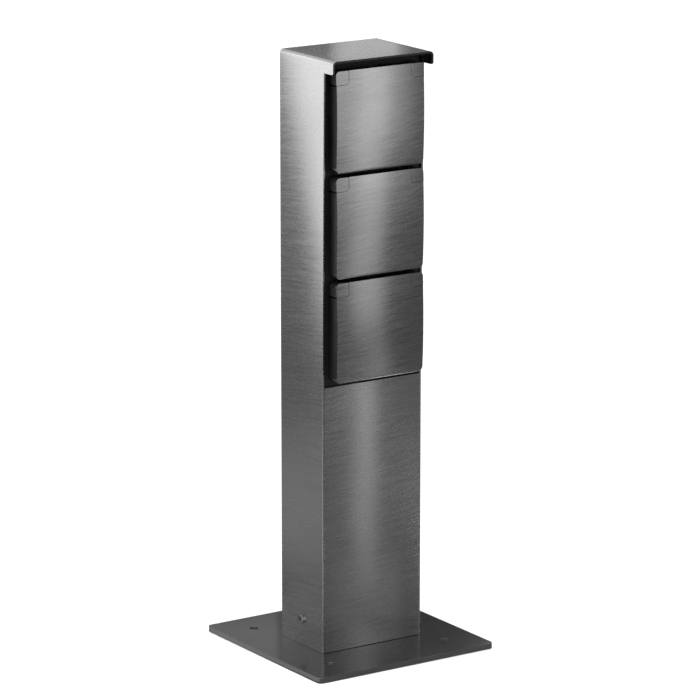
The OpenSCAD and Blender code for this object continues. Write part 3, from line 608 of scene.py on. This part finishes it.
def screws(name, node, spots, length, size, s):
    headR, headH, shankR = size["headR"], size["headH"], size["shankR"]
    dome = np.linspace(0, np.pi / 2, s["domeSteps"] + 1)
    rim = s["rim"] * headH
    corner = s["hexShare"] * headR
    turn = np.linspace(0, 2 * np.pi, s["spokes"] + 1)[:-1]
    hexagon = corner * math.cos(np.pi / 6) / np.cos((turn + np.pi / 6) % (np.pi / 3) - np.pi / 6)
    one = np.ones_like(turn)
    rings = [0 * one, (shankR - s["tip"]) * one, shankR * one, shankR * one, headR * one]
    rings += [headR * (s["flat"] + (1 - s["flat"]) * math.cos(a)) * one for a in dome]
    rings += [corner * s["hexEdge"] * one, hexagon, hexagon, 0 * one]
    heights = [-length, -length, s["tip"] - length, 0, 0]
    heights += [rim + (headH - rim) * math.sin(a) for a in dome]
    heights += [headH, headH - s["chamfer"], headH * (1 - s["sink"]),
                headH * (1 - s["sink"] - s["drillPoint"])]
    grids = [lathe(np.array(rings), heights, centre, axis, s["spokes"]) for centre, axis in spots]
    verts, faces = joinGrids(*grids, roundCols=True)
    piece = newPiece(name, verts, faces)
    return finishPiece(piece, "post", [finishes[slotOf[node]]], [node], smoothDeg=35)


def sideScrews(s):
    low, high = boxMm("side_screws")
    middle = (low + high) / 2
    spots = [((side * s["seat"], middle[1], middle[2]), (side, 0, 0)) for side in (-1, 1)]
    return screws("sideScrews", "side_screws", spots, s["length"], s, headForm)


def twoColumns(low, high, seat, axis, s):  # places of the screws, left column first
    heights = np.linspace(low[2] + s["headR"], high[2] - s["headR"], s["rows"])
    return [((side * (high[0] - s["headR"]), seat, z), axis) for side in (-1, 1) for z in heights]


def rearScrews(s):
    low, high = boxMm("rear_panel_screws")
    seat = high[1] - s["headH"]
    spots = twoColumns(low, high, seat, (0, 1, 0), s)
    return screws("rearPanelScrews", "rear_panel_screws", spots, seat - low[1], s, headForm)


def housingScrews(s):
    low, high = boxMm("housing_screws")
    seat = low[1] + s["headH"]
    spots = twoColumns(low, high, seat, (0, -1, 0), s)
    return screws("housingScrews", "housing_screws", spots, high[1] - seat, s, headForm)


sideScrews(sideScrew)
rearScrews(rearScrew)
housingScrews(housingScrew)
print("screws turned")


# closing spring: a helix about the hinge pin, then a straight leg back to the housing, with round wire
# carried along it
spring = {"wire": 0.6, "inner": 1.15, "outer": 1.75, "turns": 14, "stepsPerTurn": 18, "legSteps": 5,
          "sides": 8}


def lidSpring(n, s):
    node = f"lid_spring_{n}"
    low, high = boxMm(node)
    pinLow, pinHigh = boxMm(f"hinge_pin_{n}")
    axis = (pinLow + pinHigh) / 2
    coilR = (s["inner"] + s["outer"]) / 2
    endX = high[0] - s["wire"]
    startX = low[0] + s["wire"] / 2
    turn = np.linspace(-2 * np.pi * s["turns"], 0, s["turns"] * s["stepsPerTurn"] + 1)
    helix = np.stack([endX + (endX - startX) * turn / (2 * np.pi * s["turns"]),
                      axis[1] + coilR * np.sin(turn), axis[2] - coilR * np.cos(turn)], -1)
    leg = np.linspace(helix[-1], (endX, high[1], helix[-1, 2]), s["legSteps"] + 1)[1:]
    path = np.concatenate([helix, leg])
    verts, faces = joinGrids(sweep(path, s["wire"] / 2, s["sides"], (1, 0, 0)), roundCols=True)
    piece = newPiece(f"lidSpring{n}", verts, faces)
    return finishPiece(piece, "post", [finishes[slotOf[node]]], [node])


# hinge pin: a rod with broken ends, turned about X
pin = {"end": 0.25}


def hingePin(n, s):
    node = f"hinge_pin_{n}"
    low, high = boxMm(node)
    radius, half = (high[2] - low[2]) / 2, high[0]
    rings = [0, radius - s["end"], radius, radius, radius - s["end"], 0]
    heights = [-half, -half, s["end"] - half, half - s["end"], half, half]
    verts, faces = joinGrids(lathe(rings, heights, (low + high) / 2, (1, 0, 0)), roundCols=True)
    piece = newPiece(f"hingePin{n}", verts, faces)
    return finishPiece(piece, "post", [finishes[slotOf[node]]], [node])


# lid seal: a closed section with a foot, a waist and a round lip, carried round the plug well
seal = {"inner": 19.9, "foot": 1.0, "waist": 0.55, "slope": 0.35, "lipR": 1.0, "lipDeg": (-25, 205),
        "lipPoints": 14, "spokes": 96}


def lidSeal(n, s):
    node = f"lid_seal_{n}"
    low, high = boxMm(node)
    outer, deep = high[0], high[1] - low[1]
    middle = (s["inner"] + outer) / 2
    neck = s["foot"] + s["slope"]
    lip = arc((middle, deep - s["lipR"]), s["lipR"], *s["lipDeg"], s["lipPoints"])
    section = np.concatenate([
        [(s["inner"], 0), (outer, 0), (outer, s["foot"]), (outer - s["waist"], neck)], lip,
        [(s["inner"] + s["waist"], neck), (s["inner"], s["foot"]), (s["inner"], 0)]])
    centre = ((low + high) / 2) * (1, 0, 1) + (0, low[1], 0)
    grid = lathe(section[:, 0], section[:, 1], centre, (0, 1, 0), s["spokes"])
    verts, faces = joinGrids(grid, roundCols=True)
    piece = newPiece(f"lidSeal{n}", verts, faces)
    return finishPiece(piece, f"lid_{n}", [finishes[slotOf[node]]], [node])


for gang in gangs:
    lidSpring(gang, spring)
    hingePin(gang, pin)
    lidSeal(gang, seal)
print("hinges and seals made")


# cable grommet: a closed section with a neck in the plate and a rim above it, round at every lip
grommet = {"boreR": 6.5, "neckR": 11.0, "rimT": 2.0, "lipR": 0.8, "lipPoints": 6, "spokes": 72}


def cableGrommet(s):
    low, high = boxMm("cable_grommet")
    outer, deep, r = high[0], high[2] - low[2], s["lipR"]
    neckTop = deep - s["rimT"]

    def lip(x, z, start):  # quarter round about a point of the section
        return arc((x, z), r, start, start + 90, s["lipPoints"])

    section = np.concatenate([lip(s["boreR"] + r, r, 180), lip(s["neckR"] - r, r, 270),
                              [(s["neckR"], neckTop)], lip(outer - r, neckTop + r, 270),
                              lip(outer - r, deep - r, 0), lip(s["boreR"] + r, deep - r, 90)])
    section = np.concatenate([section, section[:1]])
    centre = ((low + high) / 2) * (1, 1, 0) + (0, 0, low[2])
    grid = lathe(section[:, 0], section[:, 1], centre, (0, 0, 1), s["spokes"])
    verts, faces = joinGrids(grid, roundCols=True)
    piece = newPiece("cableGrommet", verts, faces)
    return finishPiece(piece, "post", [finishes["black_rubber"]], ["cable_grommet"])


cableGrommet(grommet)
print("grommet made")


# moulded and cut pieces keep the shape of their solids, with the sharp edges broken
plate = {
    "edge": 0.5,
    "rim": 5.0,  # a wall further in than this is a bore
    "upright": 0.1,  # most that a wall's normal may rise
}


def basePlate(s):
    piece = cadCopy("base_plate", "basePlate")
    reach = np.abs(faceValues(piece, "center")[:, :2]).max(1) / mm
    wall = np.abs(faceValues(piece, "normal")[:, 2]) < s["upright"]
    # the bores take the steel painted lighter, as light inside the anchor holes
    chooseFinish(piece, wall & (reach < boxMm("base_plate")[1][0] - s["rim"]), 1)
    addBevel(piece, s["edge"])
    return finishPiece(piece, "post", [sheetPlate, sheetBoreLit], ["base_plate"])


edged = [  # node, body, width of the edge, and a finish where it isn't the slot's own
    ("front_panel", "post", 0.05, sheetAcross),
    ("rear_panel", "post", 0.3, sheetAcross),
    # the housing takes the ABS painted darker as shade in the gaps round the lids
    ("socket_housing", "post", 0.5, houseAbsShaded),
] + [(f"socket_insert_{n}", "post", 0.4, None) for n in gangs] \
  + [(f"earth_strap_{n}", "post", 0.2, None) for n in gangs] \
  + [(f"lid_body_{n}", f"lid_{n}", 0.5, None) for n in gangs]

basePlate(plate)
for nodeName, bodyName, width, material in edged:
    words = nodeName.split("_")
    piece = cadCopy(nodeName, words[0] + "".join(w.capitalize() for w in words[1:]))
    addBevel(piece, width)
    finishPiece(piece, bodyName, [material or finishes[slotOf[nodeName]]], [nodeName])
print("edges broken on", 1 + len(edged), "pieces")


# floor and light

studio = {
    "floorHex": "#f4f4f3",
    "flagHex": "#4a4a4a",
    "floorRings": (0.0005, 0.3, 1.0, 3.0, 9.0),  # metres from the middle
    "floorSpokes": 64,
    "floorDrop": 0.0002,
    "worldGrey": 0.16,  # what the steel sees where no light is
    "backdropGrey": 1.0,  # what stands behind the floor
    "flag": ((0.195, 0.18, 0.062), 0.16, 0.10),  # middle, width and height of the dark card at the back
    "washFrom": (0, 0, 3),
    "washAim": (0, 0.2, 0),
    "washStrength": 3.6,
    "washAngle": 80,  # degrees across, for soft shadows
}
softboxes = {  # place, aim, width and height in metres, roll in degrees, brightness of the face
    # left side: bright at the top, a fill at the foot and a bright line down the front edge
    "leftHigh": ((-0.153, 0.121, 0.37), (-0.042, -0.046, 0.37), (0.062, 0.32), 10.5, 1.55),
    "leftLow": ((-0.160, 0.150, 0.06), (-0.042, -0.01, 0.10), (0.15, 0.10), 0, 0.16),
    "leftEdge": ((-0.427, 0.121, 0.38), (-0.036, -0.034, 0.39), (0.10, 0.30), 0, 4.0),
    # front: an upright band on the lids and another on the panel, with fills beside them
    "lidStrip": ((0.070, -0.154, 0.365), (-0.014, -0.029, 0.365), (0.022, 0.31), -2, 0.88),
    "panelStrip": ((0.0783, -0.154, 0.1375), (-0.0047, -0.029, 0.1375), (0.0125, 0.095), -1.5, 0.70),
    "panelLow": ((0.0762, -0.154, 0.055), (-0.0068, -0.029, 0.055), (0.015, 0.07), -1.5, 0.42),
    "panelFill": ((0.205, -0.279, 0.042), (0.035, -0.029, 0.08), (0.09, 0.07), 0, 0.10),
    "frontHigh": ((0.085, -0.250, 0.472), (-0.055, -0.037, 0.392), (0.14, 0.345), 0, 0.88),
    # roof and the bend above the left side
    "rearRoof": ((0.110, 0.145, 0.475), (0.013, -0.001, 0.433), (0.05, 0.05), 0, 0.75),
    "roofBend": ((-0.042, 0.324, 0.65), (-0.042, 0, 0.43), (0.40, 0.12), 0, 0.75),
    # foot of the post, lips of the lids and the left of the plate
    "rearLow": ((0.00, 0.150, 0.06), (-0.05, 0.02, 0.03), (0.06, 0.06), 0, 0.10),
    "footEdge": ((-0.123, -0.083, 0.075), (-0.042, -0.029, 0.11), (0.10, 0.14), 0, 1.4),
    "footFill": ((0.039, -0.0956, 0.025), (-0.005, -0.029, 0.04), (0.05, 0.04), 0, 0.08),
    "lipGlow": ((0.135, -0.050, 0.010), (0, -0.038, 0.20), (0.03, 0.15), 90, 2.2),
    "plateLeft": ((-0.081, 0.01, 0.0004), (-0.081, 0.02, 1), (0.012, 0.17), 0, 0.22),
    # right side and back
    "rightHigh": ((0.40, 0.30, 0.40), (0.042, -0.01, 0.36), (0.10, 0.40), 0, 1.0),
    "rearStrip": ((-0.20, 0.40, 0.36), (0, 0.025, 0.30), (0.06, 0.5), 0, 1.2),
    # panels round the room, which the other sides of the steel mirror
    "overhead": ((0, 0, 2.4), (0, 0, 0), (0.7, 0.7), 0, 0.8),
    "roomFront": ((0, -0.72, 0.19), (0, 0, 0.19), (0.26, 0.37), 0, 0.45),
    "roomFrontRight": ((0.60, -0.28, 0.19), (0, 0, 0.19), (0.24, 0.37), 0, 0.4),
    "roomFrontLeft": ((-0.58, -0.42, 0.19), (0, 0, 0.19), (0.24, 0.37), 0, 0.4),
    "roomRight": ((0.58, 0.42, 0.19), (0, 0, 0.19), (0.24, 0.37), 0, 0.4),
    "roomLeft": ((-0.58, 0.40, 0.19), (0, 0, 0.19), (0.24, 0.37), 0, 0.4),
}


def mattSurface(name, hexColour):
    material, tree = newTree(name)
    matt = addNode(tree, "ShaderNodeBsdfDiffuse", {}, {"Color": toLinear(hexColour)})
    addNode(tree, "ShaderNodeOutputMaterial", {}, {"Surface": matt.outputs[0]})
    return material


def makeFloor(s):  # flat rings round the middle
    turn = np.linspace(0, 2 * np.pi, s["floorSpokes"] + 1)[:-1]
    reach = np.array(s["floorRings"])[:, None]
    verts = np.stack([reach * np.cos(turn), reach * np.sin(turn), 0 * reach * turn - s["floorDrop"]], -1) / mm
    floor = newPiece("floor", verts.reshape(-1, 3), gridFaces(reach.size, turn.size, True))
    floor.data.materials.append(mattSurface("paleFloor", s["floorHex"]))
    floor.visible_glossy = False  # the steel mirrors the dark of the room


def makeFlag(s):  # upright dark card that keeps the right of the plate dark, seen in the steel only
    middle, wide, tall = s["flag"]
    yaw = math.radians(photoCamera["yaw"])
    right = np.array((math.cos(yaw), math.sin(yaw), 0))
    across, rise = np.meshgrid([-wide / 2, wide / 2], [-tall / 2, tall / 2])
    grid = np.array(middle) + across[..., None] * right + rise[..., None] * np.array((0, 0, 1))
    flag = newPiece("flag", grid.reshape(-1, 3) / mm, gridFaces(2, 2))
    flag.data.materials.append(mattSurface("darkCard", s["flagHex"]))
    flag.visible_camera = flag.visible_diffuse = flag.visible_shadow = False


def makeWorld(s):
    world = bpy.data.worlds.new("studio")
    world.use_nodes = True
    tree = world.node_tree
    tree.nodes.clear()
    room = addNode(tree, "ShaderNodeBackground", {}, {"Color": [s["worldGrey"]] * 3 + [1]})
    backdrop = addNode(tree, "ShaderNodeBackground", {}, {"Color": [s["backdropGrey"]] * 3 + [1]})
    seen = addNode(tree, "ShaderNodeLightPath").outputs["Is Camera Ray"]
    both = addNode(tree, "ShaderNodeMixShader", {}, {0: seen, 1: room.outputs[0], 2: backdrop.outputs[0]})
    addNode(tree, "ShaderNodeOutputWorld", {}, {"Surface": both.outputs[0]})
    scene.world = world


def addLight(name, kind, place, aim):
    data = bpy.data.lights.new(name, kind)
    lamp = bpy.data.objects.new(name, data)
    scene.collection.objects.link(lamp)
    lamp.location = place
    lamp.rotation_mode = "QUATERNION"
    lamp.rotation_quaternion = (Vector(aim) - Vector(place)).to_track_quat("-Z", "Y")
    return lamp


makeFloor(studio)
makeFlag(studio)
makeWorld(studio)
wash = addLight("skyWash", "SUN", studio["washFrom"], studio["washAim"])
wash.data.energy = studio["washStrength"]
wash.data.angle = math.radians(studio["washAngle"])
wash.visible_glossy = False
for name, (place, aim, size, roll, glow) in softboxes.items():
    lamp = addLight(name, "AREA", place, aim)
    lamp.rotation_quaternion @= Quaternion((0, 0, 1), math.radians(roll))
    lamp.data.shape = "RECTANGLE"
    lamp.data.size, lamp.data.size_y = size
    lamp.data.energy = glow * math.pi * size[0] * size[1]
    lamp.visible_camera = False
scene.view_settings.view_transform = "Standard"
print("lights:", 1 + len(softboxes))
